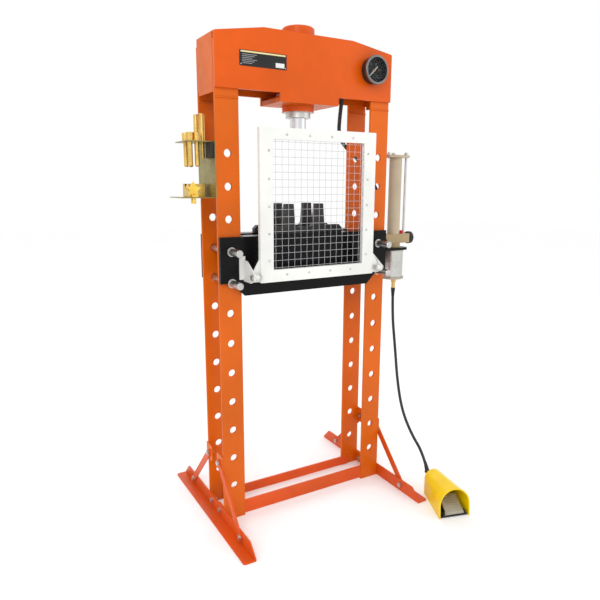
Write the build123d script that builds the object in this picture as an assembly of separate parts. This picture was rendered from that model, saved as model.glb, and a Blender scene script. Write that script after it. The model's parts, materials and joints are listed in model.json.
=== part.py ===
"""Floor-standing H-frame hydraulic shop press with an air pump, a mesh guard and a foot pedal.

Frame: +X to the press's right, +Y to its back, +Z up. Origin on the floor, midway between the
four uprights. Millimetres.
"""
from build123d import *
import math
import os

os.makedirs("parts", exist_ok=True)

# ------------------------------------------------------------------ uprights and pin holes
COL_X = 315.0            # centre of an upright, either side
COL_W = 85.0             # width of an upright's face
COL_IN, COL_OUT = 69.0, 79.0     # inner and outer faces of an upright, front to back
COL_TOP = 1700.0
HOLE_PITCH = 110.0       # bed height step
HOLE_FIRST = 137.0       # lowest pin hole above the floor
HOLE_COUNT = 12
HOLE_R = 13.5
SIDE = COL_X + COL_W / 2         # outer edge of the uprights, 357.5

# ------------------------------------------------------------------ feet and braces
FOOT_LEG = 50.0          # height of the foot's wall
FOOT_SOLE = 46.0         # width of the foot's sole
FOOT_T = 5.0
FOOT_HALF = 350.0
EAR_T = 5.0
BRACE_TOP = (50.0, 226.0)        # brace bolt at the upright: out from the middle, up from the floor
BRACE_LOW = (238.0, 27.0)        # brace bolt at the foot
FOOT_BOLT = (40.0, 27.0)         # bolts that hold the foot to the uprights
BOLT_R = 5.0
BOLT_HOLE_R = 5.5

# ------------------------------------------------------------------ head and cylinder
HEAD_T = 9.0
HEAD_FRONT = -(COL_OUT + HEAD_T)  # front face of the head
HEAD_BACK = COL_IN                # back face of the head's rear plate
HEAD_HALF = 358.0
HEAD_LOW, HEAD_MID = 1553.0, 1524.0
HEAD_SHOULDER, HEAD_TOP = 1724.0, 1753.0
CYL_R, CYL_BORE = 59.0, 53.0
CYL_BOTTOM, CYL_TOP = 1502.0, 1790.0
RAM_R = 30.0
RAM_END = 1412.0
FLANGE_TOP = HEAD_MID + 28        # top of the cylinder's mounting flange

# ------------------------------------------------------------------ bed
BED_IN, BED_OUT = 80.0, 92.0     # inner and outer faces of a bed beam
BED_TOP, BED_LOW, BED_BELLY = 1067.0, 907.0, 859.0
BED_HALF = 356.0
BELLY_HALF = 265.0
LEDGE_IN = 32.0                  # how near the middle the bed's top ledges reach
PIN_R = 12.5
PIN_LEVELS = (HOLE_FIRST + 7 * HOLE_PITCH, HOLE_FIRST + 8 * HOLE_PITCH)
PIN_FRONT, PIN_BACK = -166.0, 112.0

# ------------------------------------------------------------------ guard
GUARD_HALF = 238.0
GUARD_LOW, GUARD_TOP = 912.0, 1430.0
GUARD_RAIL = 50.0
GUARD_Y = -155.0                 # middle of the guard frame's thickness
GUARD_T = 16.0
MESH_PITCH = 25.0
WIRE_R = 0.9
HINGE_Y, HINGE_Z = -171.0, 935.0
HINGE_BORE = 5.06        # runs on the 10 mm hinge bolt

# ------------------------------------------------------------------ pump
PUMP_X, PUMP_Y = 467.0, 0.0

# ------------------------------------------------------------------ foot pedal, in its own frame
PEDAL_AT = (439.5, -402.0)
PEDAL_TURN = -16.0               # degrees, as the pedal was left on the floor
PEDAL_HALF = 95.0                # half the hood's length
PIVOT_Y, PIVOT_Z = -84.0, 14.0   # treadle pivot
GLAND_FROM = (-18.0, 86.0, 62.0)  # where the slanted hose gland leaves the valve
GLAND_SLOPE = math.radians(50)
GLAND_R, GLAND_LENGTH = 9.0, 36.0


# ================================================================== small helpers
def block(x0, x1, y0, y1, z0, z1):
    return Pos((x0 + x1) / 2, (y0 + y1) / 2, (z0 + z1) / 2) * Box(x1 - x0, y1 - y0, z1 - z0)


def rod_x(r, x0, x1, y, z):
    return Pos((x0 + x1) / 2, y, z) * Rot(0, 90, 0) * Cylinder(r, x1 - x0)


def rod_y(r, y0, y1, x, z):
    return Pos(x, (y0 + y1) / 2, z) * Rot(90, 0, 0) * Cylinder(r, y1 - y0)


def rod_z(r, z0, z1, x=0.0, y=0.0):
    return Pos(x, y, (z0 + z1) / 2) * Cylinder(r, z1 - z0)


def tube_z(r_out, r_in, z0, z1, x=0.0, y=0.0):
    return rod_z(r_out, z0, z1, x, y) - rod_z(r_in, z0 - 1, z1 + 1, x, y)


def plate_xz(points, y0, y1):
    """A flat plate whose outline lies in X and Z."""
    face = make_face(Plane.XZ * Polyline(*points, close=True))
    return Pos(0, y1, 0) * extrude(face, amount=y1 - y0, dir=(0, -1, 0))


def plate_yz(points, x0, x1):
    """A flat plate whose outline lies in Y and Z."""
    face = make_face(Plane.YZ * Polyline(*points, close=True))
    return Pos(x0, 0, 0) * extrude(face, amount=x1 - x0, dir=(1, 0, 0))


def hexagon(across, length):
    return extrude(RegularPolygon(across / 2 / math.cos(math.pi / 6), 6), amount=length)


def bolt_x(x_in, x_out, y, z, r=BOLT_R):
    """Hex bolt along X: nut at x_in, head at x_out; the grip lies between."""
    way = 1 if x_out > x_in else -1
    shank = rod_x(r, min(x_in, x_out) - 1, max(x_in, x_out) + 1, y, z)
    head = Pos(x_out, y, z) * Rot(0, 90 * way, 0) * (hexagon(3.4 * r, 1.3 * r) + Cylinder(2.1 * r, 0.6 * r,
                                                   align=(Align.CENTER, Align.CENTER, Align.MIN)))
    nut = Pos(x_in, y, z) * Rot(0, -90 * way, 0) * hexagon(3.4 * r, 1.6 * r)
    tail = rod_x(r * 0.9, min(x_in, x_in - way * 2.4 * r), max(x_in, x_in - way * 2.4 * r), y, z)
    return shank + head + nut + tail


def mirrored(solid):
    return mirror(solid, about=Plane.YZ)


def save(name, shape):
    shape.label = name
    export_step(shape, f"parts/{name}.step")


def group(shapes):
    return Compound(children=list(shapes))


# ================================================================== frame
def ear(row, y_in, z0, z1, x0, x1):
    """A small bolting ear welded to an upright, on its outer side."""
    y_out = COL_OUT if x0 >= SIDE else COL_IN
    ys = sorted((row * y_in, row * y_out))
    plate = block(x0, x1, ys[0], ys[1], z0, z1)
    corner = plate.edges().filter_by(Axis.X).sort_by(lambda e: row * e.center().Y)[:2]
    return fillet(corner, 8)


def upright(row):
    """Right-hand upright; row -1 is the front one, +1 the rear one."""
    ys = sorted((row * COL_IN, row * COL_OUT))
    bar = block(SIDE - COL_W, SIDE, ys[0], ys[1], 0, COL_TOP)
    bar = fillet(bar.edges().filter_by(Axis.Z), 2.0)
    for step in range(HOLE_COUNT):
        bar -= rod_y(HOLE_R, ys[0] - 1, ys[1] + 1, COL_X, HOLE_FIRST + step * HOLE_PITCH)
    bar += ear(row, 24, 196, 259, SIDE, SIDE + EAR_T)
    bar += ear(row, 18, 3, 50, SIDE - EAR_T, SIDE)
    bar -= rod_x(BOLT_HOLE_R, SIDE - 20, SIDE + 20, row * BRACE_TOP[0], BRACE_TOP[1])
    bar -= rod_x(BOLT_HOLE_R, SIDE - 20, SIDE + 20, row * FOOT_BOLT[0], FOOT_BOLT[1])
    return bar


def foot():
    """Right-hand foot: an angle iron lying on the floor with both ends of its wall cut away."""
    wall = plate_yz([(-FOOT_HALF, 0), (FOOT_HALF, 0), (FOOT_HALF, 9), (FOOT_HALF - 42, FOOT_LEG),
                     (42 - FOOT_HALF, FOOT_LEG), (-FOOT_HALF, 9)], SIDE, SIDE + FOOT_T)
    sole = block(SIDE, SIDE + FOOT_SOLE, -FOOT_HALF, FOOT_HALF, 0, FOOT_T)
    sole = fillet(sole.edges().filter_by(Axis.Z).sort_by(Axis.X)[-2:], 10)
    body = wall + sole
    for y in (BRACE_LOW[0], FOOT_BOLT[0], -FOOT_BOLT[0], -BRACE_LOW[0]):
        body -= rod_x(BOLT_HOLE_R, SIDE - 20, SIDE + 20, y, FOOT_BOLT[1])
    return body


def brace(row):
    """Right-hand flat-bar brace from an upright's ear down to the foot."""
    (y1, z1), (y2, z2) = BRACE_TOP, BRACE_LOW
    length = math.hypot(y2 - y1, z2 - z1)
    bar = extrude(SlotCenterToCenter(length, 26) - Pos(length / 2, 0) * Circle(BOLT_HOLE_R)
                  - Pos(-length / 2, 0) * Circle(BOLT_HOLE_R), amount=EAR_T)
    slope = math.degrees(math.atan2(z2 - z1, row * (y2 - y1)))
    middle = (SIDE + EAR_T, row * (y1 + y2) / 2, (z1 + z2) / 2)
    flat = Plane(origin=middle, x_dir=(0, 1, 0), z_dir=(1, 0, 0))
    return flat * Rot(0, 0, slope) * bar


def frame_bolts():
    outer = SIDE + 2 * EAR_T
    for row in (-1, 1):
        for bolt in (bolt_x(SIDE, outer, row * BRACE_TOP[0], BRACE_TOP[1]),
                     bolt_x(SIDE, outer, row * BRACE_LOW[0], BRACE_LOW[1]),
                     bolt_x(SIDE - EAR_T, SIDE + FOOT_T, row * FOOT_BOLT[0], FOOT_BOLT[1])):
            yield bolt
            yield mirrored(bolt)
    for side in (-1, 1):
        yield (rod_z(6, HEAD_MID + 16, FLANGE_TOP + 2, side * 78)
               + Pos(side * 78, 0, FLANGE_TOP) * hexagon(19, 9))


def build_frame():
    for row, place in ((-1, "front"), (1, "rear")):
        save(f"upright_{place}_right", upright(row))
        save(f"upright_{place}_left", mirrored(upright(row)))
    save("foot_right", foot())
    save("foot_left", mirrored(foot()))
    inner = SIDE - COL_W
    save("cross_bar_front", block(-inner, inner, -COL_OUT + 1.5, -COL_IN, 8, 60))
    save("cross_bar_rear", block(-302, 302, COL_IN - 8, COL_IN, 4, 41))
    braces = [brace(-1), brace(1)]
    save("braces", group(braces + [mirrored(bar) for bar in braces]))
    save("frame_bolts", group(frame_bolts()))


# ================================================================== head
def head_plate(y0, y1):
    outline = [(-HEAD_HALF, HEAD_LOW), (-120, HEAD_LOW), (-120, HEAD_MID), (120, HEAD_MID),
               (120, HEAD_LOW), (HEAD_HALF, HEAD_LOW), (HEAD_HALF, HEAD_SHOULDER),
               (180, HEAD_TOP), (-180, HEAD_TOP), (-HEAD_HALF, HEAD_SHOULDER)]
    return plate_xz(outline, y0, y1)


def head_cover():
    """The folded strip that closes the head's top and ends; the cylinder stands through it."""
    t = 5.0
    outline = [(-HEAD_HALF, HEAD_SHOULDER), (-180, HEAD_TOP), (180, HEAD_TOP), (HEAD_HALF, HEAD_SHOULDER),
               (HEAD_HALF, HEAD_SHOULDER - t), (180, HEAD_TOP - t), (-180, HEAD_TOP - t),
               (-HEAD_HALF, HEAD_SHOULDER - t)]
    strip = plate_xz(outline, -COL_OUT, HEAD_BACK - HEAD_T)
    strip -= rod_z(CYL_R + 0.5, HEAD_TOP - 20, HEAD_TOP + 20)
    end = block(HEAD_HALF - t, HEAD_HALF, -COL_IN, HEAD_BACK - HEAD_T, 1540, HEAD_SHOULDER - 2)
    return strip + end + mirrored(end)


def build_head():
    front = head_plate(HEAD_FRONT, -COL_OUT)
    front = fillet(front.edges().filter_by(Axis.Y).sort_by(Axis.Z)[-4:], 6)
    save("head_front_plate", front)
    save("head_rear_plate", head_plate(HEAD_BACK - HEAD_T, HEAD_BACK))
    save("head_cover", head_cover())
    seat = block(-118, 118, -COL_OUT, HEAD_BACK - HEAD_T, HEAD_MID, HEAD_MID + 16)
    save("cylinder_seat", seat - rod_z(CYL_R + 0.5, HEAD_MID - 5, HEAD_MID + 25))


def cylinder():
    """Cylinder barrel, with the two-bolt flange that stands on the seat and the closed top."""
    body = rod_z(CYL_R, CYL_BOTTOM, CYL_TOP)
    body = chamfer(body.edges().filter_by(GeomType.CIRCLE).sort_by(Axis.Z)[-1], 5)
    body += block(-92, 92, -56, 56, HEAD_MID + 16, FLANGE_TOP)
    body -= rod_z(CYL_BORE, CYL_BOTTOM - 1, CYL_TOP - 14)
    for side in (-1, 1):
        body -= rod_z(6.5, HEAD_MID + 10, HEAD_MID + 40, side * 78, 0)
    return body


def build_cylinder():
    save("cylinder_barrel", cylinder())
    gland = tube_z(CYL_BORE, RAM_R + 0.05, CYL_BOTTOM, CYL_BOTTOM + 30)
    gland += tube_z(46, RAM_R + 0.05, CYL_BOTTOM - 20, CYL_BOTTOM)
    save("cylinder_gland", gland)
    piston_top = CYL_TOP - 24
    rod = rod_z(RAM_R, RAM_END, piston_top - 34)
    rod = chamfer(rod.edges().filter_by(GeomType.CIRCLE).sort_by(Axis.Z)[0], 3)
    save("ram_rod", rod - tube_z(RAM_R + 1, RAM_R - 2, RAM_END + 18, RAM_END + 21))
    piston = rod_z(CYL_BORE - 0.05, piston_top - 34, piston_top)
    for z in (piston_top - 26, piston_top - 12):
        piston -= tube_z(CYL_BORE + 1, CYL_BORE - 3, z, z + 5)
    save("ram_piston", piston)


def gauge():
    """Pressure gauge on the head's right shoulder. Returns its fixed pieces by name."""
    gx, gz, back = 262.0, 1657.0, HEAD_FRONT
    can = rod_y(47, back - 36, back - 6, gx, gz) - rod_y(44, back - 37, back - 12, gx, gz)
    can += rod_y(17, back - 6, back, gx, gz)
    bezel = rod_y(51, back - 40, back - 30, gx, gz) - rod_y(47.3, back - 37, back - 29, gx, gz)
    bezel -= rod_y(43.5, back - 41, back - 29, gx, gz)
    bezel = fillet(bezel.edges().filter_by(GeomType.CIRCLE).group_by(Axis.Y)[0].sort_by(
        lambda e: e.radius)[-1], 2.5)
    dial = rod_y(43.6, back - 14, back - 12.1, gx, gz)
    spindle = rod_y(1.5, back - 23, back - 14, gx, gz)
    glass = rod_y(43.2, back - 38.5, back - 36.5, gx, gz)
    needle = rod_y(4, back - 21, back - 18, gx, gz)
    needle += Pos(gx, back - 19.5, gz + 13) * Box(2.4, 1.4, 50)
    needle -= rod_y(1.55, back - 30, back - 10, gx, gz)
    # The needle rests pointing to the lower left, at the dial's zero.
    needle = needle.rotate(Axis((gx, 0, gz), (0, 1, 0)), -135)
    return {"gauge_can": can, "gauge_bezel": bezel, "gauge_dial": dial + spindle, "gauge_glass": glass,
            "gauge_needle": needle}


def build_head_fittings():
    for name, shape in gauge().items():
        save(name, shape)
    plate = block(-271, -96, HEAD_FRONT - 1.2, HEAD_FRONT, 1626, 1675)
    save("name_plate", fillet(plate.edges().filter_by(Axis.Y), 3))


# ================================================================== bed
def bed_beam(row):
    """A bed beam: deep in the middle, shallow where it crosses the uprights."""
    ys = sorted((row * BED_IN, row * BED_OUT))
    rise = BED_LOW - BED_BELLY
    outline = [(-BED_HALF, BED_LOW), (-BELLY_HALF - rise, BED_LOW), (-BELLY_HALF, BED_BELLY),
               (BELLY_HALF, BED_BELLY), (BELLY_HALF + rise, BED_LOW), (BED_HALF, BED_LOW),
               (BED_HALF, BED_TOP), (-BED_HALF, BED_TOP)]
    beam = plate_xz(outline, ys[0], ys[1])
    for side in (-1, 1):
        for z in PIN_LEVELS:
            beam -= rod_y(PIN_R + 0.6, ys[0] - 1, ys[1] + 1, side * COL_X, z)
    ys = sorted((row * LEDGE_IN, row * BED_IN))
    ledge = block(-258, 258, ys[0], ys[1], BED_TOP - 14, BED_TOP)
    return beam + ledge


def bed_tie():
    """Right-hand plate that ties the two bed beams together between the uprights."""
    tie = block(248, 258, -BED_IN, BED_IN, BED_LOW + 8, BED_TOP - 14.5)
    return tie - block(240, 270, -42, 42, BED_LOW + 45, BED_LOW + 105)


def arbor_plate(y):
    """Support plate with a notch between two horns, standing on the bed's ledges."""
    z0 = BED_TOP
    outline = [(-165, z0), (165, z0), (165, z0 + 16), (153, z0 + 28), (86, z0 + 28), (80, z0 + 108),
               (48, z0 + 108), (42, z0 + 34), (30, z0 + 24), (-30, z0 + 24), (-42, z0 + 34),
               (-48, z0 + 108), (-80, z0 + 108), (-86, z0 + 28), (-153, z0 + 28), (-165, z0 + 16)]
    return plate_xz(outline, y - 11, y + 11)


def bed_pin(x, z):
    """A bed pin: chamfered at both ends, with the collar that stops it on the front beam."""
    pin = rod_y(PIN_R, PIN_FRONT, PIN_BACK, x, z)
    pin = chamfer(pin.edges().filter_by(GeomType.CIRCLE), 2)
    return pin + rod_y(PIN_R + 3.5, -BED_OUT - 4, -BED_OUT, x, z)


def build_bed():
    save("bed_beam_front", bed_beam(-1))
    save("bed_beam_rear", bed_beam(1))
    save("bed_ties", group([bed_tie(), mirrored(bed_tie())]))
    save("arbor_plate_front", arbor_plate(-44))
    save("arbor_plate_rear", arbor_plate(44))
    for side, hand in ((-1, "left"), (1, "right")):
        for z, level in zip(PIN_LEVELS, ("lower", "upper")):
            save(f"bed_pin_{level}_{hand}", bed_pin(side * COL_X, z))


# ================================================================== guard
def guard_frame():
    """Welded frame of the mesh guard, with its two hinge ears at the bottom corners."""
    y0, y1 = GUARD_Y - GUARD_T / 2, GUARD_Y + GUARD_T / 2
    frame = block(-GUARD_HALF, GUARD_HALF, y0, y1, GUARD_LOW, GUARD_TOP)
    frame -= block(-GUARD_HALF + GUARD_RAIL, GUARD_HALF - GUARD_RAIL, y0 - 1, y1 + 1,
                   GUARD_LOW + 42, GUARD_TOP - 38)
    frame = fillet(frame.edges().filter_by(Axis.Y), 3)
    ear_out = GUARD_HALF + 26
    ear_outline = [(GUARD_HALF, GUARD_LOW + 4), (ear_out, GUARD_LOW + 4), (ear_out, GUARD_LOW + 40),
                   (GUARD_HALF, GUARD_LOW + 84)]
    right = plate_xz(ear_outline, GUARD_Y - 3, GUARD_Y + 3)
    knuckle = rod_x(9, GUARD_HALF + 12, GUARD_HALF + 26, HINGE_Y, HINGE_Z)
    knuckle += block(GUARD_HALF + 12, GUARD_HALF + 26, HINGE_Y, GUARD_Y, HINGE_Z - 9, HINGE_Z + 9)
    right = right + knuckle - rod_x(HINGE_BORE, GUARD_HALF, GUARD_HALF + 40, HINGE_Y, HINGE_Z)
    return frame + right + mirrored(right)


def guard_mesh():
    """Wire mesh: upright wires in front and level wires behind, let into the frame."""
    half, low, high = GUARD_HALF - GUARD_RAIL + 6, GUARD_LOW + 36, GUARD_TOP - 32
    columns, rows = int(half // MESH_PITCH), int((high - low) // MESH_PITCH)
    start = low + (high - low - (rows - 1) * MESH_PITCH) / 2
    offset = WIRE_R + 0.02
    wires = [rod_z(WIRE_R, low, high, i * MESH_PITCH, GUARD_Y - offset) for i in range(-columns, columns + 1)]
    wires += [rod_x(WIRE_R, -half, half, GUARD_Y + offset, start + i * MESH_PITCH) for i in range(rows)]
    return group(wires)


def guard_bracket():
    """Right-hand bracket from the bed's front beam out to the guard's hinge."""
    inner = GUARD_HALF + 27
    pad = block(inner, inner + 22, -BED_OUT - 5, -BED_OUT, 918, 1000)
    arm = plate_yz([(-BED_OUT, 912), (-BED_OUT, 985), (-118, 985), (HINGE_Y - 9, HINGE_Z + 10),
                    (HINGE_Y - 9, HINGE_Z - 10), (-150, 912)], inner, inner + 6)
    return pad + arm - rod_x(5.3, inner - 5, inner + 20, HINGE_Y, HINGE_Z)


def hinge_bolt():
    inner = GUARD_HALF + 26
    return bolt_x(GUARD_HALF + 11.6, inner + 7.2, HINGE_Y, HINGE_Z)


def build_guard():
    frame = guard_frame()
    mesh = guard_mesh()
    save("guard_frame", frame - Pos(0, GUARD_Y, (GUARD_LOW + GUARD_TOP) / 2)
         * Box(2 * (GUARD_HALF - GUARD_RAIL + 7), 2 * WIRE_R * 2.2, GUARD_TOP - GUARD_LOW - 62))
    save("guard_mesh", mesh)
    save("guard_brackets", group([guard_bracket(), mirrored(guard_bracket())]))
    save("guard_hinge_bolts", group([hinge_bolt(), mirrored(hinge_bolt())]))


# ================================================================== pump
def build_pump():
    side_plate = block(SIDE, SIDE + 8, -COL_OUT, COL_OUT, 955, 1062)
    shelf = block(SIDE + 8, 517, -46, 46, 976, 986)
    shelf = fillet(shelf.edges().filter_by(Axis.Z).sort_by(Axis.X)[-2:], 20)
    gussets = [plate_xz([(SIDE + 8, 986), (SIDE + 8, 1050), (SIDE + 30, 1050), (SIDE + 62, 986)], y, y + 6)
               for y in (-40, 34)]
    bracket = side_plate + shelf + gussets[0] + gussets[1]
    bracket -= rod_z(20, 970, 990, PUMP_X, PUMP_Y)
    save("pump_bracket", bracket)

    # Valve block standing on the bracket, with the oil tube and its tie rods above it.
    valve = block(398, 536, -24, 24, 1004, 1042)
    valve = chamfer(valve.edges().filter_by(Axis.Y), 3)
    valve += rod_z(30, 986, 1004, PUMP_X, PUMP_Y)
    valve -= rod_x(9.3, 512, 537, 0, 1023)
    save("valve_block", valve)
    tube = tube_z(26, 22, 1042, 1354, PUMP_X, PUMP_Y)
    save("oil_tube", tube)
    cap = extrude(make_face(Polyline((-50, 20), (-50, -20), (-24, -36), (52, -26), (66, -6), (60, 14),
                                     (30, 50), (0, 50), close=True)), amount=10)
    cap = fillet(cap.edges().filter_by(Axis.Z), 8)
    cap = Pos(PUMP_X, PUMP_Y, 1354) * cap
    tie_places = ((-36, 0), (16, 36), (50, -5))
    for dx, dy in tie_places:
        cap -= rod_z(5.5, 1350, 1370, PUMP_X + dx, PUMP_Y + dy)
    save("oil_tube_cap", cap)
    ties = []
    for dx, dy in tie_places:
        x, y = PUMP_X + dx, PUMP_Y + dy
        foot_z = {-36: 1350, 16: 986, 50: 1042}[dx]
        tie = rod_z(5, foot_z, 1376, x, y) + Pos(x, y, 1364) * hexagon(17, 8)
        ties.append(tie)
    save("tie_rods", group(ties))

    # Air motor under the bracket.
    motor = rod_z(44, 862, 972, PUMP_X, PUMP_Y)
    for z in (884, 906, 928, 950):
        motor -= tube_z(46, 42.5, z, z + 3, PUMP_X, PUMP_Y)
    save("air_motor", motor)
    flange = rod_z(49, 852, 862, PUMP_X, PUMP_Y)
    flange = chamfer(flange.edges().filter_by(GeomType.CIRCLE), 1.5)
    top_flange = rod_z(47, 972, 976, PUMP_X, PUMP_Y) + rod_z(19.5, 976, 986, PUMP_X, PUMP_Y)
    save("air_motor_flanges", group([flange, top_flange]))
    fitting = Pos(PUMP_X + 6, -5, 836) * hexagon(21, 16) + rod_z(8, 810, 836, PUMP_X + 6, -5)
    save("air_fitting", fitting)


def build_pump_controls():
    stem = rod_x(9.2, 514, 541, 0, 1023)
    wheel = rod_x(26, 539, 561, 0, 1023)
    wheel = fillet(wheel.edges().filter_by(GeomType.CIRCLE), 5)
    for i in range(8):
        a = math.radians(45 * i)
        wheel -= rod_x(4.5, 530, 570, 28.5 * math.cos(a), 1023 + 28.5 * math.sin(a))
    save("release_knob", stem + wheel)
    button = rod_z(8, 1042, 1056, 498, -14)
    save("overload_cap", chamfer(button.edges().filter_by(GeomType.CIRCLE).sort_by(Axis.Z)[-1], 1.5))


# ================================================================== hoses
def hose_path(points):
    """Straight runs joined by tangent arcs; each arc takes 0.45 of its shorter run."""
    vectors = [Vector(*p) for p in points]
    radii = []
    for a, b, c in zip(vectors, vectors[1:], vectors[2:]):
        turn = (b - a).get_angle(c - b)
        shorter = min((b - a).length, (c - b).length)
        radii.append(0.45 * shorter / math.tan(math.radians(turn / 2)))
    return FilletPolyline(*points, radius=radii), radii


def hose(name, points, r):
    path, radii = hose_path(points)
    section = Plane(origin=path @ 0, z_dir=path % 0) * Circle(r)
    body = sweep(section, path=path)
    straight = math.pi * r * r * path.length
    print(f"{name}: length {path.length:.0f} mm, radii", [round(v) for v in radii],
          f"volume ratio {body.volume / straight:.4f}")
    save(name, body)


OIL_HOSE_R, AIR_HOSE_R = 7.5, 6.0
OIL_HOSE = [(82, 0, 1650), (148, 0, 1650), (204, 8, 1596), (203, 26, 1510), (222, 62, 1432),
            (290, 101, 1388), (370, 106, 1334), (404, 62, 1250), (411, 12, 1170), (411, 12, 1086)]
AIR_START = (PUMP_X + 6, -5, 810)


def gland_point(out):
    """The point this far out along the pedal's gland, in the press's frame."""
    c, s = math.cos(math.radians(PEDAL_TURN)), math.sin(math.radians(PEDAL_TURN))
    across, along = GLAND_FROM[0], GLAND_FROM[1] + out * math.cos(GLAND_SLOPE)
    return (PEDAL_AT[0] + c * across - s * along, PEDAL_AT[1] + s * across + c * along,
            GLAND_FROM[2] + out * math.sin(GLAND_SLOPE))


def air_route():
    """From the air motor down to the pedal, meeting the gland square on."""
    points = [AIR_START, (473, -5, 700), (481, -24, 545), (477, -52, 405), (473, -95, 282),
              (472, -165, 196), gland_point(GLAND_LENGTH + 74), gland_point(GLAND_LENGTH)]
    print("air hose points", [[round(v, 1) for v in p] for p in points])
    return points


def build_hoses():
    hose("oil_hose", OIL_HOSE, OIL_HOSE_R)
    hose("air_hose", air_route(), AIR_HOSE_R)
    # Hex adaptor and crimped sleeve at the cylinder, and the same at the valve block.
    (x0, y0, z0), (x1, y1, z1) = OIL_HOSE[0], OIL_HOSE[-1]
    adaptor = Pos(x0 - 16, y0, z0) * Rot(0, 90, 0) * hexagon(22, 15.9)
    adaptor += rod_x(9, CYL_R + 0.2, x0 - 15, y0, z0)
    pump_end = Pos(x1, y1, z1 - 16) * hexagon(22, 15.9)
    pump_end += rod_z(9, 1042, z1 - 15, x1, y1)
    sleeves = [rod_x(10, x0, x0 + 26, y0, z0) - rod_x(OIL_HOSE_R + 0.3, x0 - 1, x0 + 27, y0, z0),
               tube_z(10, OIL_HOSE_R + 0.3, z1, z1 + 26, x1, y1)]
    save("oil_hose_ends", group([adaptor, pump_end] + sleeves))


# ================================================================== foot pedal
def pedal_place(shape):
    return Pos(PEDAL_AT[0], PEDAL_AT[1], 0) * Rot(0, 0, PEDAL_TURN) * shape


def arch(half, top, low, y):
    """Arched section of the hood, standing across the pedal's length at y."""
    spring = top - half
    sides = Polyline((-half, spring), (-half, low), (half, low), (half, spring))
    face = make_face(sides + ThreePointArc((half, spring), (0, top), (-half, spring)))
    return Plane(origin=(0, y, 0), x_dir=(1, 0, 0), z_dir=(0, -1, 0)) * face


def pedal_hood():
    """Tapered arch, open in front, closed at the back round the hose gland."""
    t = 4.0
    mouth, rear = -PEDAL_HALF, PEDAL_HALF
    shell = loft([arch(64, 112, 0, mouth), arch(36, 104, 0, rear)])
    shell -= loft([arch(64 - t, 112 - t, -1, mouth - 1), arch(36 - t, 104 - t, -1, rear - t)])
    slant = plate_yz([(mouth - 5, 0), (mouth + 1, 0), (mouth + 14, 120), (mouth - 5, 120)], -80, 80)
    return shell - slant - gland(GLAND_R + 0.5, -4, 40)


def gland(r, start, end):
    """A length of the slanted gland, measured from where it leaves the valve."""
    way = Plane(origin=GLAND_FROM, z_dir=(0, math.cos(GLAND_SLOPE), math.sin(GLAND_SLOPE)))
    return way * Pos(0, 0, (start + end) / 2) * Cylinder(r, end - start)


def build_pedal():
    save("pedal_hood", pedal_place(pedal_hood()))
    base = extrude(make_face(Polyline((-57, -88), (57, -88), (31, 86), (-31, 86), close=True)), amount=6)
    for side in (-1, 1):
        base += block(side * 44 - 3, side * 44 + 3, PIVOT_Y - 8, PIVOT_Y + 8, 6, 20)
    base += rod_x(4, -48, 48, PIVOT_Y, PIVOT_Z)
    save("pedal_base", pedal_place(base))
    treadle = plate_yz([(-93, 14), (-93, 20), (-26, 60), (-20, 60), (-20, 56), (-86, 14)], -36, 36)
    treadle += rod_x(7, -39, 39, PIVOT_Y, PIVOT_Z)
    save("pedal_treadle", pedal_place(treadle - rod_x(4.06, -60, 60, PIVOT_Y, PIVOT_Z)))
    valve = block(-16, 16, -40, 20, 6, 34) + rod_z(5, 34, 38.6, 0, -30)
    valve += block(-29, 10, 20, 86, 6, 68)
    valve += gland(GLAND_R, -8, GLAND_LENGTH) + gland(GLAND_R + 3, GLAND_LENGTH - 5, GLAND_LENGTH)
    save("pedal_valve", pedal_place(valve))


# ================================================================== tool tray
def tool_tray():
    """Plated tray on the left uprights: back plate, upper shelf for punches, lower shelf."""
    back = block(SIDE, SIDE + 3, -COL_OUT, COL_OUT, 1199, 1385)
    upper = block(SIDE, 448, -62, 62, 1382, 1385)
    lower = block(SIDE, 474, -62, 62, 1199, 1202)
    tray = back + upper + lower
    for x, y in SHORT_PUNCHES:
        tray -= rod_z(8.6, 1380, 1390, x, y)
    for x, y in TALL_PUNCHES:
        tray -= rod_z(7.6, 1380, 1390, x, y)
    tray = mirrored(tray)
    for y in (-14, 14):
        tray -= rod_z(4.5, 1190, 1210, -STAR_AT[0], STAR_AT[1] + y)
    return tray


SHORT_PUNCHES = [(430, -34), (430, 6), (406, -34), (406, 30)]
TALL_PUNCHES = [(379, -15), (384, 26)]
STAR_AT = (424, -36)


def star_outline():
    points = []
    for i in range(10):
        radius, a = (27 if i % 2 == 0 else 14), math.pi * i / 5
        points.append((radius * math.sin(a), radius * math.cos(a)))
    return make_face(Polyline(*points, close=True))


def build_tray():
    save("tool_tray", tool_tray())
    short, tall = [], []
    for x, y in SHORT_PUNCHES:
        punch = rod_z(8, 1302, 1386, -x, y) + rod_z(12, 1385.2, 1412, -x, y)
        short.append(chamfer(punch.edges().filter_by(GeomType.CIRCLE).sort_by(Axis.Z)[0], 3))
    for x, y in TALL_PUNCHES:
        punch = rod_z(7, 1330, 1386, -x, y) + rod_z(9, 1385.2, 1476, -x, y)
        tall.append(chamfer(punch.edges().filter_by(GeomType.CIRCLE).sort_by(Axis.Z)[-1], 1.5))
    save("short_punches", group(short))
    save("tall_punches", group(tall))
    x, y = STAR_AT
    star = Pos(-x, y + 7, 1226) * extrude(Plane.XZ * star_outline(), amount=14)
    star = star + block(-x - 10, -x + 10, y - 20, y + 20, 1202.2, 1210)
    for dy in (-14, 14):
        star += rod_z(4, 1180, 1204, -x, y + dy)
    save("star_adapter", star)
    vee = plate_yz([(-8, 1202.2), (52, 1202.2), (52, 1246), (34, 1246), (22, 1230), (10, 1246), (-8, 1246)],
                   -430, -372)
    save("vee_block", vee)
    clip = block(-SIDE - 16, -SIDE - 3, -72, -30, 1330, 1381.5)
    save("tray_clip", fillet(clip.edges().filter_by(Axis.X), 5))


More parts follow.
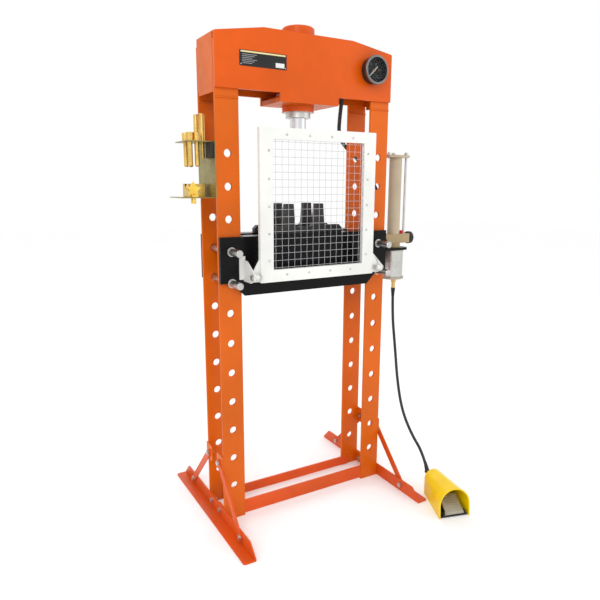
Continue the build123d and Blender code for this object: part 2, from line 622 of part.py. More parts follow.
def main():
    build_frame()
    build_head()
    build_cylinder()
    build_head_fittings()
    build_bed()
    build_guard()
    build_pump()
    build_pump_controls()
    build_hoses()
    build_pedal()
    build_tray()


main()
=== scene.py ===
"""Looks of the floor-standing hydraulic shop press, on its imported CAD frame. Metres, +Z up."""
import json
import math
import random
import bmesh
import bpy
from mathutils import Matrix, Vector


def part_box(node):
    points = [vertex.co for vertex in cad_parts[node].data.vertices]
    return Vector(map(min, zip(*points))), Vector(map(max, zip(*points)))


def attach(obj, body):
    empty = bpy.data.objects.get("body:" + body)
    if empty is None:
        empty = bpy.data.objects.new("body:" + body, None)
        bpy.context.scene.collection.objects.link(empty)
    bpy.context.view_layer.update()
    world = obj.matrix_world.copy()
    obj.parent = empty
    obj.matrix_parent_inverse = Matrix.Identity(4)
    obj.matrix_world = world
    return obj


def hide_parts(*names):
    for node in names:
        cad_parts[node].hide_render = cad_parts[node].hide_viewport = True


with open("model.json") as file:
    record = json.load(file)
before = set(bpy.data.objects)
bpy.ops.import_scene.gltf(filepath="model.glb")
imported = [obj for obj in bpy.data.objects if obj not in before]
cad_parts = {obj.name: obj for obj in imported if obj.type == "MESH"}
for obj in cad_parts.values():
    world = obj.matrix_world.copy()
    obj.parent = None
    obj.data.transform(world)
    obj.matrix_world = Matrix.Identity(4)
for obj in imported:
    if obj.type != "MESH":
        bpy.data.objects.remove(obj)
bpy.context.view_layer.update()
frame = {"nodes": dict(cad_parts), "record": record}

NODES = frame["nodes"]
RNG = random.Random(7)


# ================================================================== camera
CAMERA_AT = (-1.0884, -1.8941, 1.2474)
CAMERA_RIGHT = Vector((0.865058, -0.501659, 0.003578))
CAMERA_UP = Vector((0.097385, 0.174918, 0.979755))
FIELD_OF_VIEW = 55.59


def make_camera():
    """The photo's viewpoint, solved from the press's own straight edges."""
    cam = bpy.data.cameras.new("camera")
    cam.sensor_fit = "HORIZONTAL"
    cam.angle = math.radians(FIELD_OF_VIEW)
    cam.clip_end = 60
    obj = bpy.data.objects.new("camera", cam)
    turn = Matrix((CAMERA_RIGHT, CAMERA_UP, CAMERA_RIGHT.cross(CAMERA_UP))).transposed().to_4x4()
    obj.matrix_world = Matrix.Translation(CAMERA_AT) @ turn
    bpy.context.scene.collection.objects.link(obj)
    bpy.context.scene.camera = obj


# ================================================================== hoses
# Routes in millimetres, in the press's frame, as in the CAD model.
OIL_RADIUS, OIL_LENGTH = 0.0075, 0.763
AIR_RADIUS, AIR_LENGTH = 0.006, 0.816
OIL_HOSE = [(82, 0, 1650), (148, 0, 1650), (204, 8, 1596), (203, 26, 1510), (222, 62, 1432),
            (290, 101, 1388), (370, 106, 1334), (404, 62, 1250), (411, 12, 1170), (411, 12, 1086)]
AIR_HOSE = [(473, -5, 810), (473, -5, 700), (481, -24, 545), (477, -52, 405), (473, -95, 282),
            (472, -165, 196), (465.4, -246.4, 146.3), (452.3, -292.1, 89.6)]


def make_cord(name, node, points, radius):
    """A hose as one smooth curve; each point's radius carries the hose's size."""
    curve = bpy.data.curves.new(name, "CURVE")
    curve.dimensions = "3D"
    spline = curve.splines.new("NURBS")
    spline.points.add(len(points) - 1)
    for point, place in zip(spline.points, points):
        point.co = [v / 1000 for v in place] + [1]
        point.radius = radius
    spline.order_u = 3
    spline.use_endpoint_u = True
    spline.resolution_u = 16
    curve.bevel_depth = 1.0
    curve.bevel_resolution = 6
    curve.use_fill_caps = True
    obj = bpy.data.objects.new(name, curve)
    bpy.context.scene.collection.objects.link(obj)
    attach(obj, "press")
    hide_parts(node)
    return obj


# ================================================================== materials
def srgb(r, g, b):
    """A screen colour, 0 to 255, as the linear colour that the shaders take."""
    def line(v):
        v /= 255
        return v / 12.92 if v <= 0.04045 else ((v + 0.055) / 1.055) ** 2.4
    return (line(r), line(g), line(b), 1)


class Nodes:
    """A short way to write one material's node tree."""

    def __init__(self, name):
        self.mat = bpy.data.materials.new(name)
        self.mat.use_nodes = True
        self.tree = self.mat.node_tree
        self.shader = self.tree.nodes["Principled BSDF"]
        self.coord = self.tree.nodes.new("ShaderNodeTexCoord").outputs["Object"]

    def add(self, kind, inputs=(), **attributes):
        node = self.tree.nodes.new(kind)
        for key, value in attributes.items():
            setattr(node, key, value)
        for key, value in dict(inputs).items():
            self.put(node.inputs[key], value)
        return node

    def put(self, socket, value):
        if isinstance(value, bpy.types.NodeSocket):
            self.tree.links.new(value, socket)
        else:
            socket.default_value = value

    def noise(self, scale, detail=4.0, rough=0.55, stretch=(1, 1, 1)):
        place = self.add("ShaderNodeMapping", {"Vector": self.coord, "Scale": stretch})
        return self.add("ShaderNodeTexNoise", {"Vector": place.outputs[0], "Scale": scale,
                                               "Detail": detail, "Roughness": rough}).outputs["Fac"]

    def ramp(self, value, low, high, out_low=0.0, out_high=1.0):
        return self.add("ShaderNodeMapRange", {"Value": value, "From Min": low, "From Max": high,
                                               "To Min": out_low, "To Max": out_high}).outputs[0]

    def product(self, a, b):
        return self.add("ShaderNodeMath", {0: a, 1: b}, operation="MULTIPLY").outputs[0]

    def mix(self, factor, a, b):
        node = self.add("ShaderNodeMix", data_type="RGBA")
        for socket, value in ((node.inputs[0], factor), (node.inputs[6], a), (node.inputs[7], b)):
            self.put(socket, value)
        return node.outputs[2]

    def edges(self, radius):
        """1 on sharp edges, 0 on flat faces."""
        soft = self.add("ShaderNodeBevel", {"Radius": radius}, samples=4).outputs[0]
        sharp = self.add("ShaderNodeNewGeometry").outputs["Normal"]
        dot = self.add("ShaderNodeVectorMath", {0: soft, 1: sharp}, operation="DOT_PRODUCT")
        return self.ramp(dot.outputs["Value"], 0.995, 0.88)

    def bump(self, height, strength, distance):
        node = self.add("ShaderNodeBump", {"Height": height, "Strength": strength, "Distance": distance})
        self.put(self.shader.inputs["Normal"], node.outputs[0])


def paint(name, colour, worn, rough=0.32, peel=0.12, coat=0.08, chips=0.62, grime=0.10, shine=0.3):
    """Sprayed enamel: orange peel, slight fading and grime, and chips along its edges."""
    n = Nodes(name)
    fade = n.ramp(n.noise(3.0, 5), 0.35, 0.7)
    shade = tuple(v * 0.78 for v in colour[:3]) + (1,)
    base = n.mix(fade, colour, shade)
    dirt = n.ramp(n.noise(14.0, 8, 0.7), 0.56, 0.78, 0.0, grime)
    base = n.mix(dirt, base, (0.05, 0.035, 0.025, 1))
    edge = n.product(n.edges(0.0014), n.ramp(n.noise(60.0, 6, 0.7), chips - 0.06, chips + 0.02))
    base = n.mix(edge, base, worn)
    n.put(n.shader.inputs["Base Color"], base)
    n.put(n.shader.inputs["Roughness"], n.ramp(n.noise(22.0, 6), 0.3, 0.75, rough, rough + 0.16))
    n.put(n.shader.inputs["Specular IOR Level"], shine)
    n.put(n.shader.inputs["Coat Weight"], coat)
    n.put(n.shader.inputs["Coat Roughness"], 0.12)
    n.bump(n.noise(420.0, 2), peel, 0.0006)
    return n.mat


def metal(name, colour, dark, rough=0.28, grain=(1, 1, 1), scratch=0.15, metallic=1.0, blotch=0.5):
    """Bare or plated metal: directional machining marks, stains and uneven polish."""
    n = Nodes(name)
    stain = n.ramp(n.noise(18.0, 7, 0.65), 0.42, 0.75, 0.0, blotch)
    n.put(n.shader.inputs["Base Color"], n.mix(stain, colour, dark))
    lines = n.noise(90.0, 3, 0.5, grain)
    n.put(n.shader.inputs["Roughness"], n.ramp(lines, 0.3, 0.7, rough, rough + 0.2))
    n.put(n.shader.inputs["Metallic"], metallic)
    n.bump(lines, scratch, 0.0004)
    return n.mat


def rubber(name, pitch):
    """Hose cover with a fine wrapped-cloth impression and dull scuffs."""
    n = Nodes(name)
    scuff = n.ramp(n.noise(30.0, 6), 0.5, 0.75)
    n.put(n.shader.inputs["Base Color"], n.mix(scuff, (0.008, 0.008, 0.009, 1), (0.035, 0.034, 0.033, 1)))
    n.put(n.shader.inputs["Roughness"], n.ramp(scuff, 0, 1, 0.42, 0.62))
    wave = n.add("ShaderNodeTexWave", {"Vector": n.coord, "Scale": pitch, "Distortion": 0.6},
                 bands_direction="DIAGONAL")
    n.bump(wave.outputs["Fac"], 0.25, 0.0004)
    return n.mat


def plastic(name, colour, shade, rough=0.35, strength=0.12):
    """Moulded plastic or print: uneven tone, dull scuffs and a fine grain."""
    n = Nodes(name)
    tone = n.ramp(n.noise(6.0, 4), 0.35, 0.7)
    scuff = n.ramp(n.noise(55.0, 8, 0.7), 0.6, 0.75, 0.0, 0.35)
    base = n.mix(tone, colour, shade)
    n.put(n.shader.inputs["Base Color"], n.mix(scuff, base, tuple(0.6 * v for v in shade[:3]) + (1,)))
    n.put(n.shader.inputs["Roughness"], n.ramp(scuff, 0, 0.35, rough, rough + 0.2))
    n.put(n.shader.inputs["Specular IOR Level"], 0.3)
    n.bump(n.noise(260.0, 3), strength, 0.0003)
    return n.mat


def glass(name):
    """Thin clear glass, mostly seen through, with faint smears."""
    n = Nodes(name)
    n.put(n.shader.inputs["Base Color"], (0.02, 0.025, 0.025, 1))
    n.put(n.shader.inputs["Roughness"], n.ramp(n.noise(40.0, 5), 0.3, 0.8, 0.02, 0.10))
    n.put(n.shader.inputs["Alpha"], 0.10)
    return n.mat


def make_materials():
    """Every material, under the name that the tables below use for it."""
    return {
        "orange": paint("orange_enamel", srgb(217, 98, 2), (0.42, 0.10, 0.02, 1),
                        rough=0.34, coat=0.06, shine=0.22),
        # A darker, redder copy of the frame's orange for the head's front plate and the cylinder's barrel:
        # painted shade.
        "orange_shaded_head": paint("orange_enamel_shaded_head", srgb(220, 88, 2), (0.45, 0.11, 0.02, 1),
                             rough=0.30, coat=0.06, shine=0.22),
        # A darker, redder copy of the frame's orange for the feet, braces and cross bars: painted shade,
        # with heavier grime as well.
        "orange_shaded_low": paint("orange_enamel_shaded_low", srgb(220, 82, 6), (0.40, 0.09, 0.02, 1),
                            rough=0.38, grime=0.2),
        "black_gloss": paint("black_enamel", (0.004, 0.004, 0.005, 1), (0.08, 0.08, 0.08, 1),
                             rough=0.24, peel=0.08, coat=0.06, grime=0.05, shine=0.12),
        "white": paint("white_coat", srgb(236, 236, 232), (0.30, 0.27, 0.24, 1),
                       rough=0.34, peel=0.2, grime=0.06, chips=0.70),
        "wire": metal("galvanised_wire", srgb(192, 193, 195), srgb(150, 152, 154),
                      rough=0.45, grain=(2, 2, 2), metallic=0.15),
        "dark_ring": metal("dark_bezel", (0.20, 0.20, 0.205, 1), (0.08, 0.08, 0.08, 1),
                           rough=0.2, grain=(1, 1, 9)),
        "chrome": metal("ground_rod", (0.72, 0.72, 0.74, 1), (0.45, 0.44, 0.42, 1),
                        rough=0.10, grain=(1, 1, 14), scratch=0.06, blotch=0.25),
        "bright": metal("bright_steel", (0.60, 0.59, 0.57, 1), (0.30, 0.28, 0.25, 1),
                        rough=0.26, grain=(6, 1, 6)),
        "zinc": metal("yellow_zinc", srgb(158, 146, 92), srgb(104, 90, 48),
                      rough=0.30, grain=(3, 3, 3), scratch=0.12, blotch=0.8, metallic=0.85),
        "gold_zinc": metal("gold_zinc", srgb(232, 196, 112), srgb(170, 128, 56),
                           rough=0.22, grain=(1, 1, 9), scratch=0.08, blotch=0.7),
        "star": metal("bright_zinc", srgb(250, 212, 92), srgb(214, 160, 44),
                      rough=0.24, blotch=0.6, metallic=0.7),
        "black_steel": metal("black_oxide", (0.035, 0.034, 0.036, 1), (0.09, 0.075, 0.06, 1),
                             rough=0.36, metallic=0.7, grain=(4, 4, 4)),
        "bronze": paint("tube_paint", srgb(192, 176, 150), srgb(120, 106, 86),
                        rough=0.36, peel=0.1, grime=0.25),
        "cast": paint("casting_paint", (0.022, 0.022, 0.024, 1), (0.16, 0.15, 0.14, 1),
                      rough=0.42, peel=0.6, coat=0.1, grime=0.15),
        "motor": metal("turned_alloy", srgb(206, 206, 202), srgb(150, 148, 142),
                       rough=0.24, grain=(1, 1, 12)),
        "tan": paint("valve_paint", srgb(172, 150, 112), srgb(104, 88, 66),
                     rough=0.36, peel=0.25, grime=0.25),
        "alloy": metal("treadle_alloy", srgb(176, 170, 154), srgb(120, 112, 98),
                       rough=0.34, grain=(1, 8, 8), metallic=0.6),
        "brass": metal("turned_brass", (0.72, 0.50, 0.19, 1), (0.42, 0.28, 0.10, 1),
                       rough=0.24, grain=(1, 1, 9)),
        "rubber": rubber("hose_cover", 240.0),
        "red": plastic("red_cap", (0.55, 0.012, 0.012, 1), (0.33, 0.008, 0.008, 1), rough=0.25),
        "black_plastic": plastic("black_moulding", (0.012, 0.012, 0.013, 1), (0.03, 0.03, 0.03, 1),
                                 rough=0.4, strength=0.3),
        "yellow": plastic("yellow_moulding", srgb(246, 214, 0), srgb(234, 190, 0),
                          rough=0.34, strength=0.2),
        "dial": plastic("dial_black", (0.010, 0.010, 0.011, 1), (0.018, 0.018, 0.019, 1), rough=0.5),
        "print_white": plastic("white_print", (0.78, 0.78, 0.76, 1), (0.66, 0.66, 0.64, 1), rough=0.5),
        "print_grey": plastic("grey_print", (0.30, 0.30, 0.31, 1), (0.22, 0.22, 0.23, 1), rough=0.5),
        "print_cream": plastic("cream_print", srgb(226, 214, 160), srgb(206, 192, 136), rough=0.5),
        "glass": glass("gauge_glass"),
    }


BY_SLOT = {
    "frame_paint": "orange", "bed_paint": "black_gloss", "guard_paint": "white", "wire": "wire",
    "ground_steel": "chrome", "bright_steel": "bright", "zinc": "zinc", "black_steel": "black_steel",
    "tube_bronze": "bronze", "cast_black": "cast", "alloy": "alloy", "hose_rubber": "rubber",
    "red_plastic": "red", "black_plastic": "black_plastic", "yellow_plastic": "yellow", "dial": "dial",
    "needle_white": "print_white", "clear": "glass", "plate_print": "dial", "brass_part": "brass",
}
# The head's front plate and the cylinder's barrel take a darker, redder copy of the frame's orange:
# painted shade.
BY_NODE = {"head_front_plate": "orange_shaded_head", "cylinder_barrel": "orange_shaded_head", "valve_block": "tan",
           "air_motor": "motor", "short_punches": "gold_zinc", "tall_punches": "gold_zinc",
           "star_adapter": "star", "vee_block": "gold_zinc", "gauge_bezel": "dark_ring",
           # The feet, braces and cross bars take a darker, redder copy of the frame's orange: painted
           # shade.
           "foot_left": "orange_shaded_low", "foot_right": "orange_shaded_low",
           "braces": "orange_shaded_low", "cross_bar_front": "orange_shaded_low", "cross_bar_rear": "orange_shaded_low"}


def dress_nodes(m):
    """Give each CAD part its material: by its own name where it has one there, else by its slot."""
    for part in frame["record"]["subparts"]:
        node = NODES[part["node"]]
        kind = BY_NODE.get(part["node"], BY_SLOT[part["material_slot"]])
        node.data.materials.clear()
        node.data.materials.append(m[kind])


# ================================================================== small pieces
def piece(name, bm, material, body, smooth=False, bevel=0.0):
    """Turn a built mesh into a piece that rides a body."""
    mesh = bpy.data.meshes.new(name)
    bmesh.ops.recalc_face_normals(bm, faces=bm.faces)
    bm.to_mesh(mesh)
    bm.free()
    obj = bpy.data.objects.new(name, mesh)
    bpy.context.scene.collection.objects.link(obj)
    for face in mesh.polygons:
        face.use_smooth = smooth
    if bevel:
        mod = obj.modifiers.new("soft_edges", "BEVEL")
        mod.width, mod.segments = bevel, 2
    mesh.materials.append(material)
    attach(obj, body)
    return obj


def add_box(bm, low, high):
    """A plain box between two opposite corners."""
    middle = (Vector(low) + Vector(high)) / 2
    size = Vector(high) - Vector(low)
    bmesh.ops.create_cube(bm, size=1, matrix=Matrix.Translation(middle) @ Matrix.Diagonal((*size, 1)))


def around(segments):
    """Evenly spaced angles, once round a circle."""
    return [2 * math.pi * i / segments for i in range(segments)]


def skin(bm, rings):
    """A closed skin over rings of points: a wall from each ring to the next, and a cap at each end."""
    rings = [[bm.verts.new(place) for place in ring] for ring in rings]
    for near, far in zip(rings, rings[1:]):
        for k in range(len(near)):
            j = (k + 1) % len(near)
            bm.faces.new((near[k], near[j], far[j], far[k]))
    bm.faces.new(rings[0][::-1])
    bm.faces.new(rings[-1])


def add_turned(bm, profile, middle, axis, segments=32):
    """A turned shape: profile gives (distance along the axis, radius) pairs."""
    turn = Vector((0, 0, 1)).rotation_difference(Vector(axis)).to_matrix()
    skin(bm, [[Vector(middle) + turn @ Vector((radius * math.cos(a), radius * math.sin(a), along))
               for a in around(segments)] for along, radius in profile])


def add_weld(bm, start, end, size, normal):
    """A fillet weld bead: a chain of overlapping flattened ripples from start to end."""
    start, end, normal = Vector(start), Vector(end), Vector(normal).normalized()
    along = (end - start).normalized()
    side = along.cross(normal)
    count = max(3, int((end - start).length / (size * 0.42)))
    rings = []
    for i in range(count * 2 + 1):
        grow = (1.0 if i % 2 else 0.84) * (1 + RNG.uniform(-0.05, 0.05))
        if i in (0, count * 2):
            grow = 0.35
        middle = start.lerp(end, i / (count * 2))
        rings.append([middle + (side * math.cos(a) + normal * 0.9 * math.sin(a)) * size * grow * 0.5
                      for a in around(8)])
    skin(bm, rings)


def make_welds(m):
    """Painted weld beads where the frame, the pump's bracket and the bed join."""
    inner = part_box("upright_front_right")[0].x
    outer = 0.3575                             # half the width across the uprights
    face = -0.079                              # front of the front uprights
    head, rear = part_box("head_front_plate"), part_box("head_rear_plate")
    bar, rear_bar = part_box("cross_bar_front"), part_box("cross_bar_rear")
    beads = bmesh.new()
    for side in (-1, 1):
        # Lower edges of the head plates, across the uprights.
        for y, z in ((face - 0.0005, head[0].z), (rear[1].y - 0.001, rear[0].z)):
            add_weld(beads, (side * inner, y, z), (side * outer, y, z), 0.007, (0, -0.7, -0.7))
        # Cross bars to the uprights.
        x, y = side * inner, bar[0].y
        add_weld(beads, (x, y, bar[0].z + 0.003), (x, y, bar[1].z - 0.003), 0.006, (-side * 0.7, -0.7, 0))
        y, z = rear_bar[0].y + 0.007, rear_bar[1].z
        add_weld(beads, (x, y, z), (side * 0.300, y, z), 0.006, (0, -0.5, 0.8))
        # Brace ears to the uprights' edges.
        for row in (-1, 1):
            x, y = side * outer, row * 0.0685
            add_weld(beads, (x, y, 0.200), (x, y, 0.255), 0.005, (side, -row * 0.6, 0))
    piece("weld_beads", beads, m["orange"], "press", smooth=True)

    # Pump bracket to the edges of the right uprights.
    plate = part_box("pump_bracket")
    pump = bmesh.new()
    for row in (-1, 1):
        x, y = outer + 0.0005, row * 0.0785
        add_weld(pump, (x, y, plate[0].z + 0.004), (x, y, plate[1].z - 0.004), 0.005, (0.6, row * 0.7, 0))
    piece("pump_welds", pump, m["black_gloss"], "press", smooth=True)

    # Inside the bed, each beam to the ledge on top of it and to the ties at its ends.
    bed = bmesh.new()
    for row, beam in ((-1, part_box("bed_beam_front")), (1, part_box("bed_beam_rear"))):
        y, under = row * 0.080, 1.0528
        add_weld(bed, (-0.245, y, under), (0.245, y, under), 0.006, (0, -row * 0.7, -0.7))
        for side in (-1, 1):
            x = side * 0.2478
            add_weld(bed, (x, y, beam[0].z + 0.066), (x, y, 1.045), 0.006, (-side * 0.7, -row * 0.7, 0))
    piece("bed_welds", bed, m["black_gloss"], "bed", smooth=True)


def make_rivets(m):
    """Small domed rivets on the posts and rails of the guard's frame, front and back."""
    low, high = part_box("guard_frame")
    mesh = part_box("guard_mesh")
    dome = [(0, 0.0042), (0.0008, 0.0041), (0.0017, 0.0032), (0.0023, 0.0016)]
    faces = ((-0.163, -1), (-0.147, 1))        # the frame's front and back, and the way each looks
    posts = [(side * (mesh[1].x + 0.010), low.z + 0.075 + i * (high.z - low.z - 0.150) / 4)
             for side in (-1, 1) for i in range(5)]
    rails = [(-0.135 + i * 0.09, z) for z in (mesh[0].z - 0.012, mesh[1].z + 0.010) for i in range(4)]
    bm = bmesh.new()
    for x, z in posts + rails:
        for y, way in faces:
            add_turned(bm, dome, (x, y, z), (0, way, 0), 16)
    piece("guard_rivets", bm, m["bright"], "guard", smooth=True)


def make_mesh(m):
    """Woven wire cloth: every wire passes over and under the ones that it crosses."""
    low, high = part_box("guard_mesh")
    middle = (low + high) / 2
    pitch, radius = 0.025, 0.00065
    steps = 4                                  # points from one crossing to the next
    columns = int((high.x - middle.x) // pitch)     # on each side of the middle one
    rows = int((high.z - low.z + 1e-6) // pitch)
    start = middle.z - (rows - 1) * pitch / 2
    bm = bmesh.new()

    def wire(begin, along, across, length, phase):
        """One wavy wire; phase is a point level with which it lies to the back."""
        count = round(length / pitch * steps)
        rings = []
        for i in range(count + 1):
            place = begin + along * (length * i / count)
            place.y += radius * math.cos(math.pi * (place - phase).dot(along) / pitch)
            rings.append([place + (across * math.cos(a) + Vector((0, 1, 0)) * math.sin(a)) * radius
                          for a in around(6)])
        skin(bm, rings)

    up, right = Vector((0, 0, 1)), Vector((1, 0, 0))
    for i in range(-columns, columns + 1):
        x = middle.x + i * pitch
        wire(Vector((x, middle.y, low.z)), up, right, high.z - low.z, Vector((x, 0, start + i * pitch)))
    for i in range(rows):
        z = start + i * pitch
        wire(Vector((low.x, middle.y, z)), right, up, high.x - low.x,
             Vector((middle.x + (i + 1) * pitch, 0, z)))
    mesh = piece("woven_mesh", bm, m["wire"], "guard", smooth=True)
    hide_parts("guard_mesh")


# ================================================================== gauge and plate
# The strokes of each numeral, named as on a seven-stroke display.
SEGMENTS = {"0": "abcdef", "1": "bc", "2": "abged", "3": "abgcd", "4": "fgbc", "5": "afgcd"}


def add_digit(bm, digit, x, z, y, size):
    """One plain dial numeral from straight strokes."""
    w, h, t = size * 0.5, size, size * 0.13
    strokes = {"a": (0, h / 2, w, t), "g": (0, 0, w, t), "d": (0, -h / 2, w, t),
               "f": (-w / 2, h / 4, t, h / 2), "b": (w / 2, h / 4, t, h / 2),
               "e": (-w / 2, -h / 4, t, h / 2), "c": (w / 2, -h / 4, t, h / 2)}
    for key in SEGMENTS[digit]:
        sx, sz, sw, sh = strokes[key]
        add_box(bm, (x + sx - sw / 2, y - 0.0003, z + sz - sh / 2), (x + sx + sw / 2, y, z + sz + sh / 2))


def dial_angle(reading):
    """Where a reading from 0 to 50 lies, clockwise from the top."""
    return math.radians(-135 + 270 * reading / 50)


def make_dial(m):
    """Grey ticks and numerals from 0 to 50 round the black dial, and the pointer's hub and blade."""
    low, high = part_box("gauge_dial")
    gx, gz = (low.x + high.x) / 2, (low.z + high.z) / 2
    y = -0.10202                               # just proud of the dial's face
    bm = bmesh.new()
    for i in range(51):
        a = dial_angle(i)
        r0, r1, w = (0.0325, 0.0395, 0.0011) if i % 10 == 0 else (0.0355, 0.0395, 0.0005)
        middle = Vector((gx + math.sin(a) * (r0 + r1) / 2, y, gz + math.cos(a) * (r0 + r1) / 2))
        place = (Matrix.Translation(middle) @ Matrix.Rotation(a, 4, "Y")
                 @ Matrix.Diagonal((w, 0.0004, r1 - r0, 1)))
        bmesh.ops.create_cube(bm, size=1, matrix=place)
    for reading in range(0, 51, 10):
        a, label = dial_angle(reading), str(reading)
        cx, cz = gx + math.sin(a) * 0.0262, gz + math.cos(a) * 0.0262
        for k, digit in enumerate(label):
            add_digit(bm, digit, cx + (k - (len(label) - 1) / 2) * 0.0046, cz, y, 0.0062)
    piece("dial_marks", bm, m["print_grey"], "press")

    hub = bmesh.new()
    add_turned(hub, [(0, 0.0046), (0.0012, 0.0045), (0.0022, 0.0034), (0.0026, 0.0010)], (gx, -0.1091, gz),
               (0, -1, 0), 24)
    piece("needle_hub", hub, m["brass"], "needle", smooth=True)

    blade = bmesh.new()
    a = dial_angle(0)
    along, across = Vector((math.sin(a), 0, math.cos(a))), Vector((math.cos(a), 0, -math.sin(a)))
    outline = ((-0.020, 0.0022), (-0.006, 0.0016), (0.0, 0.0024), (0.030, 0.0011), (0.0365, 0.0002))
    rims = []
    for y in (-0.1093, -0.1087):
        middle = Vector((gx, y, gz))
        rims.append([middle + along * d + across * w for d, w in outline]
                    + [middle + along * d - across * w for d, w in outline[::-1]])
    skin(blade, rims)
    piece("needle_blade", blade, m["print_white"], "needle")


def make_plate_print(m):
    """Plain print on the name plate: ruled lines, a white patch and a cream strip, and its rivets."""
    low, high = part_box("name_plate")
    y = low.y - 0.00001                        # just proud of the plate's face
    w, h = high.x - low.x, high.z - low.z
    # Each patch is left, right, bottom and top, as parts of the plate's width and height.
    lines = [(0.05, 0.26 + 0.05 * (i % 3), 0.16 + i * 0.11, 0.20 + i * 0.11) for i in range(6)]
    for name, material, patches in (("plate_lines", "print_grey", lines),
                                    ("plate_patch", "print_white", [(0.76, 0.95, 0.10, 0.40)]),
                                    ("plate_strip", "print_cream", [(0.03, 0.97, 0.86, 0.96)])):
        bm = bmesh.new()
        for x0, x1, z0, z1 in patches:
            add_box(bm, (low.x + x0 * w, y - 0.0003, low.z + z0 * h), (low.x + x1 * w, y, low.z + z1 * h))
        piece(name, bm, m[material], "press")
    rivets, dome = bmesh.new(), [(0, 0.0022), (0.0006, 0.0020), (0.0011, 0.0010)]
    for x in (low.x + 0.005, high.x - 0.005):
        for z in (low.z + 0.005, high.z - 0.005):
            add_turned(rivets, dome, (x, low.y, z), (0, -1, 0), 12)
    piece("plate_rivets", rivets, m["bright"], "press", smooth=True)


# ================================================================== hose ends and pedal
def make_hose_ends(m):
    """Crimp rings on the oil hose's sleeves, and tapered bend guards at both ends of the air hose."""
    rings = bmesh.new()
    crimp, pitch = [(-0.0012, 0.0100), (-0.0008, 0.0108), (0.0008, 0.0108), (0.0012, 0.0100)], 0.0055
    for i in range(4):
        add_turned(rings, crimp, (0.087 + i * pitch, 0, 1.650), (1, 0, 0), 24)
        add_turned(rings, crimp, (0.411, 0.012, 1.091 + i * pitch), (0, 0, 1), 24)
    piece("crimp_rings", rings, m["bright"], "press", smooth=True)
    guards = bmesh.new()
    for start, towards in ((AIR_HOSE[0], AIR_HOSE[1]), (AIR_HOSE[-1], AIR_HOSE[-2])):
        start, towards = Vector(start) / 1000, Vector(towards) / 1000
        profile = []
        for i in range(7):
            along, radius = i * pitch, AIR_RADIUS + 0.0035 * (1 - i / 7)
            profile += [(along, radius), (along + 0.0032, radius), (along + 0.0036, radius - 0.0010),
                        (along + 0.0050, radius - 0.0010)]
        add_turned(guards, profile, start, towards - start, 24)
    piece("bend_guards", guards, m["black_plastic"], "press")


PEDAL_X, PEDAL_Y, PEDAL_TURN = 0.4395, -0.402, math.radians(-16)


def pedal_point(x, y, z):
    """From the pedal's own frame to the press's."""
    return Vector((PEDAL_X + x * math.cos(PEDAL_TURN) - y * math.sin(PEDAL_TURN),
                   PEDAL_Y + x * math.sin(PEDAL_TURN) + y * math.cos(PEDAL_TURN), z))


def make_pedal(m):
    """Rolled lip round the hood's mouth, and the ribbed grip on the treadle."""
    lip = bmesh.new()
    half, top, steps, bead = 0.0620, 0.110, 20, 0.0026
    outline = [(-half, 0.002 + i * 0.046 / 4) for i in range(4)]
    spring = top - half                        # height at which the hood's arch begins
    outline += [(-half * math.cos(math.pi * i / steps), spring + half * math.sin(math.pi * i / steps))
                for i in range(steps + 1)]
    outline += [(half, z) for _, z in outline[3::-1]]
    rings = []
    for x, z in outline:
        y = -0.0920 + 0.0117 * z / 0.108       # the hood's mouth leans back
        out = Vector((x, 0, max(z - spring, 0))).normalized()
        rings.append([pedal_point(x + out.x * bead * math.cos(a), y + bead * math.sin(a),
                                  z + out.z * bead * math.cos(a)) for a in around(8)])
    skin(lip, rings)
    piece("hood_lip", lip, m["yellow"], "press", smooth=True)

    grip = bmesh.new()
    rise, run, step = 0.040, 0.067, 0.0088     # the treadle's slope, and the ribs' pitch
    for i in range(7):
        middle = pedal_point(0, -0.087 + i * step, 0.0238 + i * step * rise / run)
        place = (Matrix.Translation(middle) @ Matrix.Rotation(PEDAL_TURN, 4, "Z")
                 @ Matrix.Rotation(math.atan2(rise, run), 4, "X")
                 @ Matrix.Diagonal((0.064, 0.0035, 0.0022, 1)))
        bmesh.ops.create_cube(grip, size=1, matrix=place)
    piece("treadle_ribs", grip, m["alloy"], "treadle", bevel=0.0006)


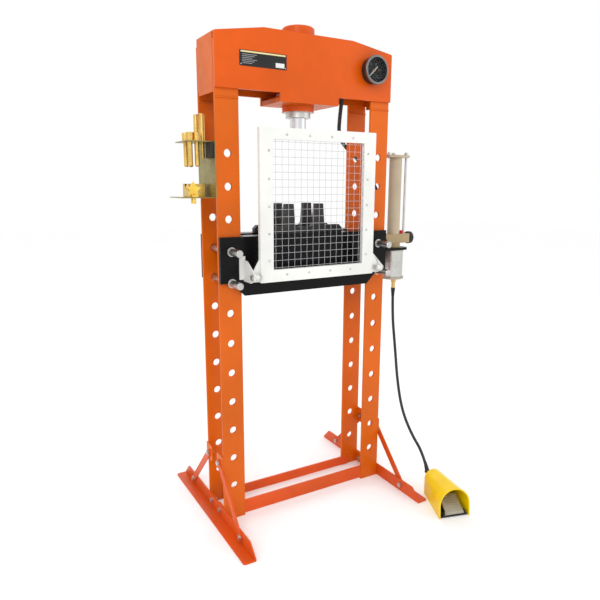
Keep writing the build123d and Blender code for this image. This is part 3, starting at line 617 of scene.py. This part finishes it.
# ================================================================== studio
def make_studio():
    """Pale floor, white surroundings and three soft lights."""
    floor_mesh = bpy.data.meshes.new("floor")
    bm = bmesh.new()
    bmesh.ops.create_grid(bm, x_segments=1, y_segments=1, size=14)
    bm.to_mesh(floor_mesh)
    bm.free()
    floor = bpy.data.objects.new("floor", floor_mesh)
    floor.location.z = -0.0004                 # just below the soles
    bpy.context.scene.collection.objects.link(floor)
    n = Nodes("pale_floor")
    tone = n.mix(n.noise(0.8, 2), (0.93, 0.93, 0.93, 1), (0.91, 0.91, 0.91, 1))
    n.put(n.shader.inputs["Base Color"], tone)
    n.put(n.shader.inputs["Roughness"], 0.9)
    n.put(n.shader.inputs["Specular IOR Level"], 0.1)
    n.put(n.shader.inputs["Emission Color"], (1, 1, 1, 1))
    n.put(n.shader.inputs["Emission Strength"], 0.07)
    floor_mesh.materials.append(n.mat)

    world = bpy.data.worlds.new("studio")
    world.use_nodes = True
    background = world.node_tree.nodes["Background"]
    background.inputs[0].default_value = (1, 1, 1, 1)
    background.inputs[1].default_value = 1.0
    bpy.context.scene.world = world
    bpy.context.scene.view_settings.view_transform = "Standard"
    for name, place, size, power in (("key", (-2.4, -3.0, 3.2), 1.8, 45),
                                     ("fill", (2.8, -2.0, 2.2), 2.5, 12),
                                     ("back", (0.5, 3.2, 3.0), 2.5, 20)):
        light = bpy.data.lights.new(name, "AREA")
        light.energy, light.size = power, size
        obj = bpy.data.objects.new(name, light)
        obj.location = place
        aim = Vector((0, 0, 0.9)) - Vector(place)
        obj.rotation_euler = aim.to_track_quat("-Z", "Y").to_euler()
        bpy.context.scene.collection.objects.link(obj)


def main():
    make_camera()
    materials = make_materials()
    for obj in (make_cord("oil_hose_line", "oil_hose", OIL_HOSE, OIL_RADIUS),
                make_cord("air_hose_line", "air_hose", AIR_HOSE, AIR_RADIUS)):
        obj.data.materials.append(materials["rubber"])
    dress_nodes(materials)
    make_welds(materials)
    make_mesh(materials)
    make_rivets(materials)
    make_dial(materials)
    make_plate_print(materials)
    make_hose_ends(materials)
    make_pedal(materials)
    make_studio()


main()
bpy.context.view_layer.update()
